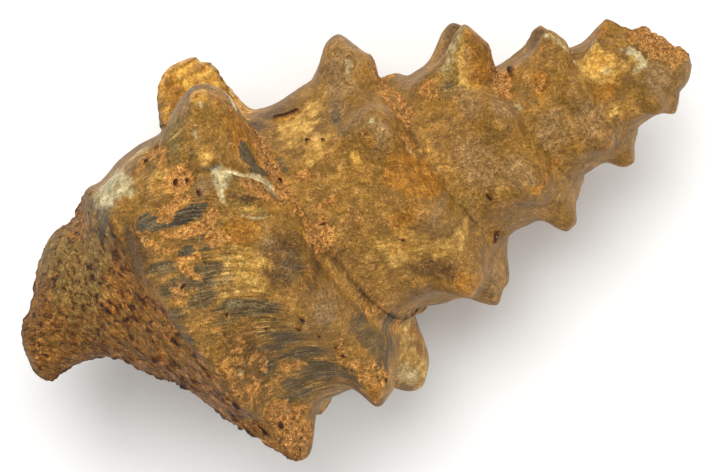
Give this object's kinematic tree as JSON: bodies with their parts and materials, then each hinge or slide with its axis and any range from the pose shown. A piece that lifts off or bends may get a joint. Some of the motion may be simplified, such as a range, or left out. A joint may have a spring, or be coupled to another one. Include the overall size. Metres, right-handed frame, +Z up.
{
  "type": "fossil gastropod",
  "caption": "Fossil spiny high-spired sea snail shell, stone-hard and filled, with knobbed whorls, a rough pitted base and a broken apex, lying on three worn knobs.",
  "frame": {"origin": "centre of the bounding box's footprint, on the ground the shell lies on", "axes": "+Z up; +X along the shell towards its apex; the base and canal point towards -X"},
  "size_m": [0.0734, 0.0416, 0.0365],
  "materials": {
    "shell_stone": "waxy greyish brown, rough and pitted on the base"
  },
  "bodies": {
    "root": {"shell": "shell_stone"}
  },
  "joints": []
}
